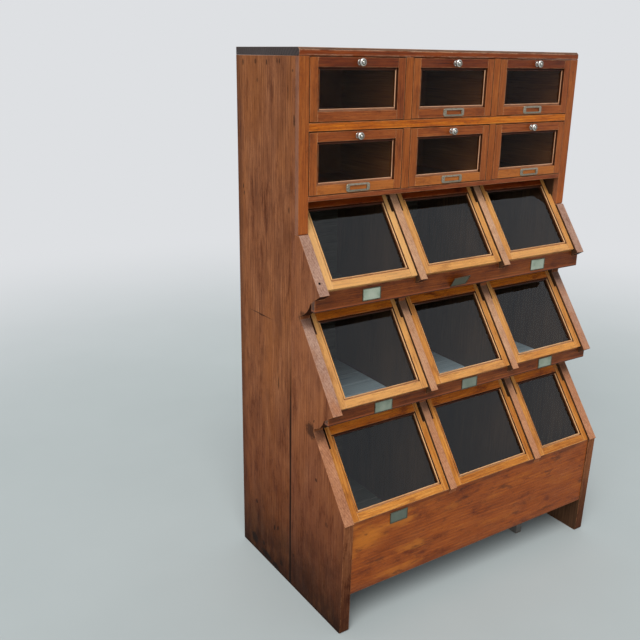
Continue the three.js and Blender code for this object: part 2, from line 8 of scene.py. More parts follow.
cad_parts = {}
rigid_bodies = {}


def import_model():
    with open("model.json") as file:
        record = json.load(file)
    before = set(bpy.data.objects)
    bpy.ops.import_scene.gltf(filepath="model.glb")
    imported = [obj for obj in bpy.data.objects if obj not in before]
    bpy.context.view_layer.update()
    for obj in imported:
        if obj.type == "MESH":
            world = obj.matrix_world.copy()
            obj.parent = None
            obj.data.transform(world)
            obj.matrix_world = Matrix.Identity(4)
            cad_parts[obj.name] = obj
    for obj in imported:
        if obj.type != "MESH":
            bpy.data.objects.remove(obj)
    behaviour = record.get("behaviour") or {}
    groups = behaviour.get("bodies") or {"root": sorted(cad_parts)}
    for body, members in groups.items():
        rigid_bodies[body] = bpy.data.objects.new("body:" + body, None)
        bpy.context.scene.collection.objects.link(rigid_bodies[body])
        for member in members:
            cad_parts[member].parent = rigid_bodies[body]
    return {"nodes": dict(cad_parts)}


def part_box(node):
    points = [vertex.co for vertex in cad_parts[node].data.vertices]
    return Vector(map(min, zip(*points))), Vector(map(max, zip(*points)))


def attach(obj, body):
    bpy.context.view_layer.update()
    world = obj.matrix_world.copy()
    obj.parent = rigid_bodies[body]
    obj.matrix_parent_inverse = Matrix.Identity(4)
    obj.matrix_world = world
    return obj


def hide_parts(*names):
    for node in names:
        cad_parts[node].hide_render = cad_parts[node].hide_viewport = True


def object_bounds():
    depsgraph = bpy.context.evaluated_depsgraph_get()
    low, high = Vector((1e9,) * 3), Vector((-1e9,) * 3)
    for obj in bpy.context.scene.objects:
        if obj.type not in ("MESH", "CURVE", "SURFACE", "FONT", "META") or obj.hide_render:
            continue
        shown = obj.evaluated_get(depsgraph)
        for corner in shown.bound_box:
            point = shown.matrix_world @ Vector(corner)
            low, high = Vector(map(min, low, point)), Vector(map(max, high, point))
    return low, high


for stray in list(bpy.data.objects):
    bpy.data.objects.remove(stray)

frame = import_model()
cad_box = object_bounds()
MM = 0.001

# The source measures from the outer face of the left side and the front of the drawers
SOURCE_X = -cad_box[0].x
SOURCE_Y = -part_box("drawer_front_r1c1")[0].y

# Slope of the lids: across, up the slope and off it
SLOPE = math.atan(0.745)
ACROSS = Vector((1, 0, 0))
UP = Vector((0, math.sin(SLOPE), math.cos(SLOPE)))
OFF = Vector((0, -math.cos(SLOPE), math.sin(SLOPE)))

# Camera at the photograph's viewing angle
IMAGE_SIDE = 640
CAMERA_PLACE = Vector((-1.8213, -2.05765, 1.7776))
CAMERA_YAW = math.radians(33.40)
CAMERA_PITCH = math.radians(18.33)
CAMERA_ROLL = math.radians(0.88)
CAMERA_LENS = 44.92
CAMERA_SENSOR = 36
CAMERA_REACH = 60


def make_camera():
    data = bpy.data.cameras.new("camera")
    data.lens = CAMERA_LENS
    data.sensor_width = CAMERA_SENSOR
    data.shift_x = -1 / IMAGE_SIDE
    data.clip_end = CAMERA_REACH
    camera = bpy.data.objects.new("camera", data)
    bpy.context.scene.collection.objects.link(camera)
    ahead = Vector((
        math.sin(CAMERA_YAW) * math.cos(CAMERA_PITCH),
        math.cos(CAMERA_YAW) * math.cos(CAMERA_PITCH),
        -math.sin(CAMERA_PITCH),
    ))
    level = Vector((math.cos(CAMERA_YAW), -math.sin(CAMERA_YAW), 0))
    upright = level.cross(ahead)
    right = math.cos(CAMERA_ROLL) * level + math.sin(CAMERA_ROLL) * upright
    up = -math.sin(CAMERA_ROLL) * level + math.cos(CAMERA_ROLL) * upright
    turn = Matrix((right, up, -ahead)).transposed().to_4x4()
    camera.matrix_world = Matrix.Translation(CAMERA_PLACE) @ turn
    bpy.context.scene.camera = camera


# Colours
def rgb(red, green, blue):
    """An sRGB colour, 0 to 255, as linear RGBA."""
    def linear(value):
        value /= 255
        return value / 12.92 if value <= 0.04045 else ((value + 0.055) / 1.055) ** 2.4
    return (linear(red), linear(green), linear(blue), 1)


# Tones of each wood, from dark to light
SIDE_TONES = [rgb(75, 37, 21), rgb(123, 72, 44), rgb(151, 94, 60), rgb(182, 123, 84)]
ORANGE_TONES = [rgb(106, 43, 2), rgb(180, 88, 9), rgb(208, 114, 18), rgb(228, 142, 40)]
NOSE_RAIL_TONES = [rgb(66, 24, 6), rgb(124, 56, 20), rgb(148, 74, 33), rgb(180, 104, 56)]
STILE_TONES = [rgb(84, 34, 8), rgb(142, 70, 20), rgb(164, 86, 30), rgb(192, 116, 52)]
EDGE_TONES = [rgb(62, 20, 2), rgb(118, 48, 8), rgb(142, 63, 14), rgb(176, 93, 32)]
STRIP_TONES = [rgb(104, 68, 50), rgb(158, 120, 102), rgb(186, 148, 128), rgb(212, 178, 154)]
PALE_STRIP_TONES = [rgb(118, 70, 46), rgb(184, 134, 100), rgb(208, 160, 124), rgb(224, 184, 150)]
LOW_STRIP_TONES = [rgb(100, 52, 30), rgb(164, 104, 68), rgb(194, 132, 92), rgb(214, 160, 122)]
DRAWER_TONES = [rgb(72, 26, 4), rgb(132, 62, 20), rgb(158, 80, 30), rgb(188, 112, 54)]
LID_TONES = [rgb(118, 58, 12), rgb(186, 110, 38), rgb(212, 139, 56), rgb(234, 171, 98)]
FASCIA_TONES = [rgb(40, 13, 0), rgb(94, 40, 3), rgb(122, 58, 12), rgb(158, 86, 28)]
PLINTH_TONES = [rgb(62, 22, 2), rgb(133, 60, 10), rgb(160, 79, 18), rgb(192, 110, 38)]
TOP_TONES = [rgb(56, 34, 24), rgb(92, 58, 38), rgb(116, 78, 52), rgb(146, 106, 76)]
INNER_TONES = [rgb(44, 28, 18), rgb(66, 44, 30), rgb(80, 55, 38), rgb(98, 70, 50)]
BOX_TONES = [rgb(80, 40, 16), rgb(120, 66, 30), rgb(138, 80, 40), rgb(158, 100, 58)]
FLOOR_TONES = [rgb(52, 48, 44), rgb(84, 80, 76), rgb(100, 97, 94), rgb(120, 118, 116)]
PALE_FLOOR_TONES = [rgb(128, 134, 146), rgb(176, 183, 196), rgb(196, 202, 212), rgb(214, 218, 226)]
BACK_TONES = [rgb(56, 50, 44), rgb(86, 78, 70), rgb(100, 92, 84), rgb(122, 112, 102)]
REAR_TONES = [rgb(104, 72, 50), rgb(152, 112, 80), rgb(170, 130, 96), rgb(192, 154, 118)]
GROOVE_SHADE_TONES = [rgb(34, 14, 6), rgb(62, 28, 13), rgb(78, 38, 18), rgb(104, 56, 30)]
# The beads are pale: partly rubbed wood, partly a painted highlight along the pane
LID_BEAD_TONES = [rgb(132, 82, 46), rgb(200, 146, 98), rgb(222, 172, 124), rgb(236, 198, 156)]
BEAD_TONES = [rgb(130, 84, 60), rgb(190, 140, 108), rgb(214, 168, 134), rgb(230, 190, 158)]
WORN = rgb(190, 128, 84)
STAIN = rgb(26, 13, 8)
BACKGROUND = rgb(222, 224, 227)

# Marks on the outer face of a side: centre (y, z), half sizes, turn, strength
SIDE_MARKS = [
    ((0.2872, 1.7544), (0.0053, 0.013), 0.0, 0.85),
    ((0.2054, 1.7585), (0.0090, 0.010), 0.1, 0.55),
    ((0.1370, 1.7565), (0.0045, 0.013), 0.0, 0.80),
    ((0.0744, 1.7602), (0.0053, 0.012), 0.0, 0.70),
    ((0.0599, 1.7604), (0.0045, 0.012), 0.0, 0.70),
    ((0.1950, 1.7030), (0.0075, 0.008), 0.3, 0.40),
    ((-0.0135, 1.7356), (0.0060, 0.005), 0.0, 0.60),
    ((-0.0230, 1.5970), (0.0045, 0.024), 0.0, 0.90),
    ((0.2960, 1.3650), (0.0037, 0.012), 0.1, 0.80),
    ((0.2920, 1.3420), (0.0037, 0.010), 0.2, 0.75),
    ((0.0050, 1.3300), (0.0053, 0.014), 0.0, 0.60),
    ((0.1885, 0.9492), (0.0905, 0.0026), -0.02, 0.70),
    ((0.1792, 0.9478), (0.0304, 0.0034), -0.09, 0.50),
    ((0.0113, 1.6724), (0.0034, 0.0336), 0.0, 0.60),
    ((0.0700, 0.7380), (0.0045, 0.030), 0.0, 0.70),
    ((0.0740, 0.7900), (0.0033, 0.022), 0.1, 0.45),
    ((-0.1500, 0.6900), (0.0045, 0.008), 0.5, 0.60),
    ((-0.1664, 0.4904), (0.0090, 0.008), 0.5, 0.70),
    ((-0.2300, 0.3600), (0.0120, 0.012), 0.7, 0.40),
    ((0.2300, 0.2100), (0.0090, 0.012), 0.2, 0.75),
    ((0.1000, 0.1700), (0.0075, 0.016), 0.2, 0.80),
    ((0.2490, 0.0460), (0.0300, 0.026), 0.3, 0.90),
    ((0.1800, 0.0600), (0.0120, 0.014), 0.3, 0.75),
    ((0.1610, 0.0220), (0.0420, 0.018), 0.1, 0.97),
    ((0.0950, 0.0140), (0.0300, 0.014), 0.1, 0.95),
    ((0.0520, 0.0490), (0.0130, 0.013), 0.5, 0.80),
    ((0.0760, 0.1800), (0.0070, 0.014), 0.3, 0.75),
    ((-0.0860, 1.0050), (0.0360, 0.030), 0.4, 0.66),
    ((-0.1340, 0.6500), (0.0380, 0.030), 0.4, 0.72),
    ((-0.0300, 0.1300), (0.0075, 0.008), 0.1, 0.55),
]
# Where the joint between a side's two boards lies
SEAM_Y = 0.041 - SOURCE_Y
# Heights at which the strips of the two lower rows end under a board
STRIP_TOPS = (1.016, 0.668)
PEG_HOLE = (-0.5696, -0.1483, 1.1344)
BACK_FOOT = 0.06
BACK_BOARD = 0.122
PLINTH_PATCH = (-0.49, 0, 0.33)


# Materials
class Graph:
    """The nodes of a material or world, and short ways to add them."""

    def __init__(self, owner, end="OutputMaterial"):
        self.owner = owner
        self.end = end
        owner.use_nodes = True
        self.tree = owner.node_tree
        self.tree.nodes.clear()

    def put(self, socket, value):
        if isinstance(value, bpy.types.NodeSocket):
            self.tree.links.new(value, socket)
        else:
            socket.default_value = value

    def add(self, kind, inputs=None, output=0, **settings):
        node = self.tree.nodes.new("ShaderNode" + kind)
        for key, value in settings.items():
            setattr(node, key, value)
        for key, value in (inputs or {}).items():
            self.put(node.inputs[key], value)
        return node.outputs[output]

    def math(self, operation, a, b=0.0, clamp=False):
        return self.add("Math", {0: a, 1: b}, operation=operation, use_clamp=clamp)

    def plus(self, a, b, clamp=False):
        return self.math("ADD", a, b, clamp)

    def minus(self, a, b, clamp=False):
        return self.math("SUBTRACT", a, b, clamp)

    def times(self, a, b, clamp=False):
        return self.math("MULTIPLY", a, b, clamp)

    def gap(self, a, b):
        return self.math("ABSOLUTE", self.minus(a, b))

    def mix(self, factor, a, b, blend="MIX"):
        return self.add("Mix", {0: factor, 6: a, 7: b}, 2, data_type="RGBA", blend_type=blend)

    def tint(self, colour, mask, share, tone):
        return self.mix(self.times(mask, share), colour, tone)

    def band(self, value, low, high):
        """0 at low, 1 at high, smooth between; low may be above high."""
        if low < high:
            return self.add("MapRange", {"Value": value, "From Min": low, "From Max": high},
                            interpolation_type="SMOOTHSTEP")
        return self.minus(1.0, self.band(value, high, low))

    def vector(self, operation, a, b=(0, 0, 0), output=0):
        return self.add("VectorMath", {0: a, 1: b}, output, operation=operation)

    def length(self, a):
        return self.vector("LENGTH", a, output="Value")

    def noise(self, place, scale, detail=3.0, roughness=0.55, output="Fac"):
        return self.add("TexNoise", {
            "Vector": self.vector("MULTIPLY", place, scale), "Scale": 1.0, "Detail": detail,
            "Roughness": roughness, "Distortion": 0.0}, output)

    def ramp(self, factor, stops):
        node = self.tree.nodes.new("ShaderNodeValToRGB")
        elements = node.color_ramp.elements
        while len(elements) < len(stops):
            elements.new(0.5)
        for element, (position, colour) in zip(elements, stops):
            element.position = position
            element.color = colour
        self.put(node.inputs[0], factor)
        return node.outputs[0]

    def parts(self, vector):
        node = self.tree.nodes.new("ShaderNodeSeparateXYZ")
        self.put(node.inputs[0], vector)
        return node.outputs

    def join(self, x, y, z):
        return self.add("CombineXYZ", {0: x, 1: y, 2: z})

    def place(self):
        return self.add("TexCoord", output="Object")

    def facing(self):
        return self.add("NewGeometry", output="Normal")

    def attribute(self, name, output):
        return self.add("Attribute", output=output, attribute_name=name)

    def bump(self, strength, distance, height):
        return self.add("Bump", {"Strength": strength, "Distance": distance, "Height": height})

    def finish(self, shader):
        output = self.tree.nodes.new("ShaderNode" + self.end)
        self.put(output.inputs["Surface"], shader)
        return self.owner


def material(name):
    """A new material's graph and the object's coordinates in it."""
    graph = Graph(bpy.data.materials.new(name))
    return graph, graph.place()


GRAIN_ORDER = {"X": (0, 1, 2), "Y": (1, 0, 2), "Z": (2, 1, 0)}


def along(graph, place, axis):
    """Coordinates with the grain along x."""
    parts = graph.parts(place)
    return graph.join(*[parts[i] for i in GRAIN_ORDER[axis]])


def wood(graph, grain, tones, seed, contrast=1.0, ring_scale=46.0, pored=True):
    """Colour, height and fibre of oiled wood: tones from dark to light."""
    shifted = graph.vector("ADD", grain, (seed * 3.71, seed * 1.37, seed * 2.19))
    bend = graph.noise(shifted, (2.6, 11, 11), 2.0, 0.5, "Color")
    bend = graph.vector("MULTIPLY", graph.vector("SUBTRACT", bend, (0.5, 0.5, 0.5)), (0, 0.016, 0.016))
    place = graph.vector("ADD", shifted, bend)
    heart = graph.vector("MULTIPLY", place, (0.10, 1, 1))
    rings = graph.add("TexWave", {
        "Vector": heart, "Scale": ring_scale, "Distortion": 2.2, "Detail": 3.0, "Detail Scale": 1.4,
    }, "Fac", wave_type="RINGS", rings_direction="X", wave_profile="SAW")
    blotch = graph.noise(place, (4.5, 15, 15), 4.0, 0.6)
    fibre = graph.noise(place, (14, 330, 330), 5.0, 0.62)
    streak = graph.noise(place, (6.5, 150, 150), 3.0, 0.6)
    tone = graph.times(graph.minus(blotch, 0.5), 0.95 * contrast)
    for layer, weight in ((fibre, 1.0), (streak, 0.95), (rings, 0.24)):
        tone = graph.plus(tone, graph.times(graph.minus(layer, 0.5), weight * contrast))
    tone = graph.plus(tone, 0.5, clamp=True)
    stops = [i / (len(tones) - 1) for i in range(len(tones))]
    colour = graph.ramp(tone, list(zip(stops, tones)))
    if not pored:
        return colour, fibre, fibre
    flecks = graph.band(graph.noise(place, (24, 210, 210), 3.0, 0.6), 0.60, 0.70)
    pores = graph.band(graph.noise(place, (55, 1200, 1200), 2.0, 0.5), 0.56, 0.68)
    dark = graph.plus(graph.times(flecks, 0.34), graph.times(pores, 0.30))
    shade = graph.minus(1.0, graph.times(dark, contrast), clamp=True)
    colour = graph.mix(1.0, colour, graph.join(shade, shade, shade), "MULTIPLY")
    return colour, graph.minus(fibre, graph.times(pores, 0.8)), fibre


def mottled(graph, place, colour, scale, strength):
    """Patches where an old finish has darkened or has been rubbed thin, and dark specks."""
    cloud = graph.noise(place, scale, 9.0, 0.76)
    dark = graph.times(graph.band(cloud, 0.50, 0.66), strength)
    light = graph.times(graph.band(cloud, 0.50, 0.36), strength)
    colour = graph.mix(dark, colour, rgb(152, 116, 98), "MULTIPLY")
    colour = graph.mix(light, colour, rgb(62, 38, 18), "SCREEN")
    fine = graph.noise(place, tuple(14 * value for value in scale), 4.0, 0.65)
    specks = graph.times(graph.band(fine, 0.58, 0.68), strength * 0.7)
    return graph.mix(specks, colour, rgb(112, 80, 66), "MULTIPLY")


def wear(graph, place, colour, radius, amount, tone=WORN, spared=None):
    """The finish rubbed off along the outer edges in a broken line, but not where spared is 1."""
    rounded = graph.add("Bevel", {"Radius": radius}, samples=4)
    edge = graph.band(graph.vector("DOT_PRODUCT", rounded, graph.facing(), "Value"), 0.995, 0.90)
    broken = graph.band(graph.noise(place, (30, 60, 60), 3.0, 0.65), 0.34, 0.60)
    worn = graph.times(graph.times(edge, broken), amount)
    if spared is not None:
        worn = graph.times(worn, graph.minus(1.0, spared))
    return graph.mix(worn, colour, tone)


def mark(graph, place, centre, size, turn):
    """A blot on an upright face: centre and half sizes in (y, z)."""
    own = graph.add("Mapping", {
        "Vector": place, "Location": (0, *centre), "Rotation": (turn, 0, 0), "Scale": (50, *size),
    }, vector_type="TEXTURE")
    rough = graph.times(graph.minus(graph.noise(place, (90, 90, 90), 3.0, 0.6), 0.5), 0.9)
    return graph.band(graph.plus(graph.length(own), rough), 1.0, 0.5)


RELIEF = 0.35
RELIEF_HEIGHT = 0.0006


def varnished(graph, colour, height, fibre, grain, low, high, level=0.25):
    """Ends a wood material: a rubbed finish whose roughness lies between low and high."""
    patch = graph.noise(grain, (9, 22, 22), 3.0, 0.6)
    mixed = graph.plus(graph.times(fibre, 0.4), graph.times(patch, 0.6))
    roughness = graph.add("MapRange", {
        "Value": mixed, "From Min": 0.3, "From Max": 0.7, "To Min": low, "To Max": high})
    return graph.finish(graph.add("BsdfPrincipled", {
        "Base Color": colour, "Roughness": roughness, "Specular IOR Level": level,
        "Normal": graph.bump(RELIEF, RELIEF_HEIGHT, height)}))


def on_slopes(graph):
    """Masks by the way that a carcase face looks: across, up a slope, and down."""
    facing = graph.parts(graph.facing())
    across = graph.band(graph.math("ABSOLUTE", facing[0]), 0.4, 0.6)
    return across, graph.band(facing[2], 0.25, 0.45), graph.band(facing[2], -0.25, -0.45)


def strip_colour(graph, place, grain, seed, tones):
    """The rubbed front edges of sides and partitions: pale and pink, partly a painted sheen, lower down
    more orange.
    """
    pale, _, _ = wood(graph, grain, tones, seed, 0.8)
    orange, _, _ = wood(graph, grain, LOW_STRIP_TONES, seed + 1.3, 0.9)
    height = graph.parts(place)[2]
    patch = graph.noise(place, (14, 7, 7), 3.0, 0.6)
    pale = mottled(graph, place, pale, (24, 24, 9), 0.28)
    share = graph.plus(graph.times(graph.band(height, 1.15, 0.45), 0.5), patch)
    colour = graph.tint(pale, graph.band(share, 0.55, 0.95), 0.8, orange)
    # Painted shade under the boards that the strips of the lower rows run up to
    rise = graph.plus(height, graph.times(patch, 0.03))
    under = graph.math("MINIMUM", *[graph.gap(rise, top) for top in STRIP_TOPS])
    return graph.tint(colour, graph.band(under, 0.040, 0.014), 0.66, rgb(66, 34, 24))


def side_material():
    graph, place = material("side_panel_wood")
    x, y, z = graph.parts(place)
    grain = along(graph, place, "Z")
    colour, height, fibre = wood(graph, grain, SIDE_TONES, 1.0, 1.0, 38.0)
    # The board at the front is a little pinker, the middle a little more orange
    front = graph.band(y, SEAM_Y + 0.002, SEAM_Y - 0.002)
    colour = graph.tint(colour, front, 0.20, rgb(156, 98, 76))
    warm = graph.band(graph.noise(place, (3, 6, 1.6), 3.0, 0.5), 0.44, 0.66)
    colour = graph.tint(colour, warm, 0.34, rgb(158, 92, 42))
    grey = graph.band(graph.noise(place, (5, 9, 4), 4.0, 0.6), 0.54, 0.70)
    colour = graph.tint(colour, grey, 0.30, rgb(98, 58, 40))
    dashes = graph.band(graph.noise(place, (20, 190, 11), 3.0, 0.6), 0.60, 0.70)
    dashes = graph.times(dashes, graph.plus(graph.band(z, 0.9, 0.2), 1.0))
    colour = graph.tint(colour, dashes, 0.40, rgb(58, 26, 14))
    # Darker towards the foot and along the back edge
    cloud = graph.noise(place, (6, 12, 12), 4.0, 0.65)
    colour = graph.tint(colour, graph.band(z, 0.82, 0.30), 0.46, rgb(88, 34, 6))
    foot = graph.band(graph.plus(z, graph.times(cloud, 0.26)), 0.56, 0.10)
    colour = graph.tint(colour, foot, 0.90, rgb(26, 8, 2))
    rear = graph.band(graph.plus(y, graph.times(cloud, 0.03)), 0.300, 0.346)
    colour = graph.tint(colour, rear, 0.55, rgb(64, 34, 22))
    colour = mottled(graph, place, colour, (11, 22, 7), 0.58)
    # The joint between the boards gapes lower down
    wander = graph.times(graph.noise(place, (1, 1, 5), 2.0), 0.002)
    seam = graph.plus(graph.gap(y, SEAM_Y), wander)
    seam = graph.minus(seam, graph.times(graph.band(z, 0.95, 0.62), 0.0034))
    seam = graph.band(seam, 0.0044, 0.0020)
    open_share = graph.plus(graph.times(graph.band(z, 1.0, 0.62), 0.82), 0.10)
    colour = graph.tint(colour, seam, open_share, STAIN)
    ledge = graph.band(graph.plus(z, graph.times(cloud, 0.012)), 0.019, 0.009)
    colour = graph.tint(colour, ledge, 0.7, STAIN)
    for centre, size, turn, strength in SIDE_MARKS:
        colour = graph.tint(colour, mark(graph, place, centre, size, turn), strength, STAIN)
    # Front edge: rubbed on the slopes, pale partly as a painted sheen; painted shade on the faces turned
    # down; dark elsewhere
    across, upward, downward = on_slopes(graph)
    toe, _, _ = wood(graph, grain, SIDE_TONES, 5.6)
    toe = mottled(graph, place, graph.mix(0.30, toe, rgb(96, 44, 22)), (30, 30, 12), 0.9)
    leading = graph.mix(upward, toe, strip_colour(graph, place, grain, 5.0, STRIP_TONES))
    leading = graph.mix(downward, leading, rgb(56, 26, 14))
    leading = graph.tint(leading, foot, 0.75, rgb(44, 22, 13))
    colour = graph.mix(across, leading, colour)
    # Inner face: bare wood, darker
    inward = graph.times(graph.parts(graph.facing())[0], graph.math("SIGN", x))
    inner, _, _ = wood(graph, grain, INNER_TONES, 3.9, pored=False)
    colour = graph.mix(graph.band(inward, -0.4, -0.6), colour, inner)
    # A peg hole that is not cut: a dark disc painted as the shade inside it
    hole = graph.vector("DISTANCE", place, PEG_HOLE, "Value")
    colour = graph.mix(graph.band(hole, 0.0046, 0.0034), colour, rgb(16, 9, 6))
    colour = wear(graph, place, colour, 0.003, 0.60, spared=seam)
    return varnished(graph, colour, height, fibre, grain, 0.46, 0.70, 0.06)


def stile_material():
    graph, place = material("stile_wood")
    grain = along(graph, place, "Z")
    front, height, fibre = wood(graph, grain, STILE_TONES, 2.0)
    flank, _, _ = wood(graph, grain, SIDE_TONES, 1.0, 0.85)
    front = mottled(graph, place, front, (24, 24, 8), 0.6)
    # Lighter lower down, where the stile is more open to the light: painted light
    front = graph.tint(front, graph.band(graph.parts(place)[2], 1.58, 1.34), 0.30, rgb(188, 98, 38))
    flank = mottled(graph, place, graph.mix(0.20, flank, rgb(156, 98, 76)), (11, 22, 7), 0.58)
    colour = graph.mix(on_slopes(graph)[0], front, flank)
    colour = wear(graph, place, colour, 0.003, 0.55)
    return varnished(graph, colour, height, fibre, grain, 0.34, 0.52)


def divider_material():
    graph, place = material("divider_wood")
    grain = along(graph, place, "Z")
    front, height, fibre = wood(graph, grain, STILE_TONES, 3.0)
    flank, _, _ = wood(graph, grain, INNER_TONES, 3.4, pored=False)
    across, upward, downward = on_slopes(graph)
    # Slopes take the strip colour; painted shade on the faces turned down
    colour = graph.mix(upward, front, strip_colour(graph, place, grain, 6.0, PALE_STRIP_TONES))
    colour = graph.mix(downward, colour, rgb(70, 36, 22))
    colour = graph.mix(across, colour, flank)
    colour = wear(graph, place, colour, 0.003, 0.55)
    return varnished(graph, colour, height, fibre, grain, 0.36, 0.56)


def rail_material(name, tones):
    graph, place = material(name)
    grain = along(graph, place, "X")
    colour, height, fibre = wood(graph, grain, tones, 4.0)
    colour = mottled(graph, place, colour, (7, 20, 20), 0.55)
    # Painted shade on the faces turned up, under what rests on them, and on the faces turned down
    _, upward, downward = on_slopes(graph)
    colour = graph.tint(colour, upward, 0.7, rgb(84, 50, 32))
    colour = graph.tint(colour, downward, 0.8, rgb(60, 34, 22))
    colour = wear(graph, place, colour, 0.0035, 0.85)
    return varnished(graph, colour, height, fibre, grain, 0.34, 0.52)


def fascia_material():
    graph, place = material("fascia_wood")
    grain = along(graph, place, "X")
    colour, height, fibre = wood(graph, grain, FASCIA_TONES, 7.0, 0.9)
    colour = mottled(graph, place, colour, (6, 18, 18), 0.7)
    end_grain = graph.mix(graph.noise(place, (60, 240, 240)), rgb(58, 34, 24), rgb(104, 68, 48))
    colour = graph.mix(on_slopes(graph)[0], colour, end_grain)
    colour = wear(graph, place, colour, 0.006, 0.85, rgb(172, 104, 60))
    # A lighter line just above the lower edge, and painted shadow along the edge itself
    z = graph.parts(place)[2]
    rise = graph.math("MINIMUM", *[graph.gap(z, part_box(name)[0].z) for name in ("fascia_1", "fascia_2")])
    colour = graph.tint(colour, graph.band(rise, 0.0095, 0.0065), 0.45, rgb(164, 88, 52))
    colour = graph.tint(colour, graph.band(rise, 0.0045, 0.0025), 0.85, rgb(40, 18, 10))
    return varnished(graph, colour, height, fibre, grain, 0.38, 0.60)


def plinth_material():
    graph, place = material("plinth_board_wood")
    x, _, z = graph.parts(place)
    grain = along(graph, place, "X")
    colour, height, fibre = wood(graph, grain, PLINTH_TONES, 8.0, 0.75, 30.0)
    colour = mottled(graph, place, colour, (6, 6, 16), 0.8)
    golden = graph.band(graph.noise(place, (5, 3, 16), 4.0, 0.6), 0.52, 0.68)
    golden = graph.times(golden, graph.plus(graph.band(x, 0.1, -0.5), 0.35, clamp=True))
    colour = graph.tint(colour, golden, 0.60, rgb(192, 112, 34))
    patch = graph.add("Mapping", {
        "Vector": place, "Location": PLINTH_PATCH, "Scale": (0.10, 50, 0.055)}, vector_type="TEXTURE")
    reach = graph.plus(graph.length(patch), graph.noise(place, (14, 8, 60), 4.0, 0.7))
    colour = graph.tint(colour, graph.band(reach, 1.5, 0.7), 0.55, rgb(206, 122, 34))
    grimy = graph.band(graph.noise(place, (11, 8, 34), 5.0, 0.7), 0.56, 0.70)
    colour = graph.tint(colour, grimy, 0.60, rgb(56, 25, 14))
    # Painted shade under the lids, and a little darker along the lower edge
    rise = graph.plus(z, graph.times(graph.noise(place, (8, 8, 8)), 0.05))
    colour = graph.tint(colour, graph.band(rise, 0.405, 0.435), 0.6, rgb(56, 28, 16))
    rise = graph.plus(z, graph.times(graph.noise(place, (14, 8, 8)), 0.03))
    colour = graph.tint(colour, graph.band(rise, 0.185, 0.150), 0.45, rgb(92, 48, 32))
    colour = wear(graph, place, colour, 0.004, 0.7, rgb(176, 112, 68))
    return varnished(graph, colour, height, fibre, grain, 0.36, 0.58)


def top_material():
    graph, place = material("top_board_wood")
    grain = along(graph, place, "X")
    front, height, fibre = wood(graph, grain, EDGE_TONES, 9.0)
    upper, _, _ = wood(graph, grain, TOP_TONES, 9.5, 1.1)
    across, upward, _ = on_slopes(graph)
    rings = graph.add("TexWave", {
        "Vector": graph.vector("ADD", place, (0, 0.1, -1.70)), "Scale": 26.0, "Distortion": 2.0,
        "Detail": 3.0}, "Fac", wave_type="RINGS", rings_direction="X")
    end_grain = graph.tint(rgb(46, 36, 33), rings, 0.5, rgb(82, 66, 62))
    speck = graph.band(graph.noise(place, (200, 500, 500), 2.0), 0.55, 0.68)
    end_grain = graph.tint(end_grain, speck, 0.5, rgb(34, 26, 24))
    colour = graph.mix(upward, front, upper)
    scuffs = graph.band(graph.noise(place, (5, 40, 5), 4.0, 0.7), 0.58, 0.70)
    colour = graph.tint(colour, scuffs, 0.25, WORN)
    colour = graph.mix(across, colour, end_grain)
    colour = wear(graph, place, colour, 0.006, 0.8, rgb(206, 164, 132), across)
    return varnished(graph, colour, height, fibre, grain, 0.36, 0.60)


def plain_wood(name, tones, axis, seed, contrast=1.0):
    graph, place = material(name)
    grain = along(graph, place, axis)
    colour, height, fibre = wood(graph, grain, tones, seed, contrast, pored=False)
    colour = wear(graph, grain, colour, 0.003, 0.2)
    return varnished(graph, colour, height, fibre, grain, 0.5, 0.75)


def back_material():
    graph, place = material("back_boards_wood")
    grain = along(graph, place, "X")
    inner, height, fibre = wood(graph, grain, BACK_TONES, 11.0, pored=False)
    rear, _, _ = wood(graph, grain, REAR_TONES, 12.0, 0.7)
    # Each board has a shade of its own, and a dark joint
    rise = graph.math("DIVIDE", graph.minus(graph.parts(place)[2], BACK_FOOT), BACK_BOARD)
    board = graph.add("TexWhiteNoise", {"W": graph.math("FLOOR", rise)}, noise_dimensions="1D")
    rear = graph.tint(rear, board, 0.34, rgb(112, 80, 58))
    joint = graph.gap(graph.math("FRACT", graph.plus(rise, 0.5)), 0.5)
    rear = graph.tint(rear, graph.band(joint, 0.014, 0.007), 0.8, rgb(40, 26, 18))
    outward = graph.band(graph.parts(graph.facing())[1], 0.1, 0.4)
    colour = graph.mix(outward, inner, rear)
    dust = graph.band(graph.noise(place, (7, 7, 5), 4.0, 0.6), 0.5, 0.7)
    colour = graph.tint(colour, dust, 0.12, rgb(140, 128, 112))
    return varnished(graph, colour, height, fibre, grain, 0.6, 0.85)


def member_material(name, tones, seed, low, high, lit, patches=0.5, worn=0.75, worn_tone=WORN):
    """Wood of the built-up frames: every member has its own grain and its own shade, which is partly
    random tone, partly painted light and painted shade.
    """
    graph = Graph(bpy.data.materials.new(name))
    grain = graph.attribute("grain", "Vector")
    colour, height, fibre = wood(graph, grain, tones, seed, 0.95)
    shade = graph.attribute("shade", "Fac")
    darker = graph.mix(1.0, colour, rgb(172, 134, 108), "MULTIPLY")
    lighter = graph.mix(0.55, colour, lit)
    colour = graph.mix(graph.times(shade, -1.0, clamp=True), colour, darker)
    colour = graph.mix(graph.times(shade, 1.0, clamp=True), colour, lighter)
    colour = mottled(graph, grain, colour, (9, 26, 26), patches)
    colour = wear(graph, grain, colour, 0.003, worn, worn_tone)
    return varnished(graph, colour, height, fibre, grain, low, high)


def glass_material(name, bending):
    graph, place = material(name)
    normal = graph.bump(0.08, 0.002, graph.noise(place, (7, 7, 7), 1.0, 0.4))
    clear = graph.add("BsdfTransparent", {"Color": (0.84, 0.88, 0.87, 1)})
    gloss = graph.add("BsdfAnisotropic", {
        "Color": (0.93, 0.96, 1.0, 1), "Roughness": 0.03, "Normal": normal})
    # Only the faces turned to the viewer mirror; the far faces of a pane let everything through
    share = graph.add("Fresnel", {"IOR": bending, "Normal": normal})
    turned = graph.minus(1.0, graph.add("NewGeometry", output="Backfacing"))
    return graph.finish(graph.add("MixShader", {0: graph.times(share, turned), 1: clear, 2: gloss}))


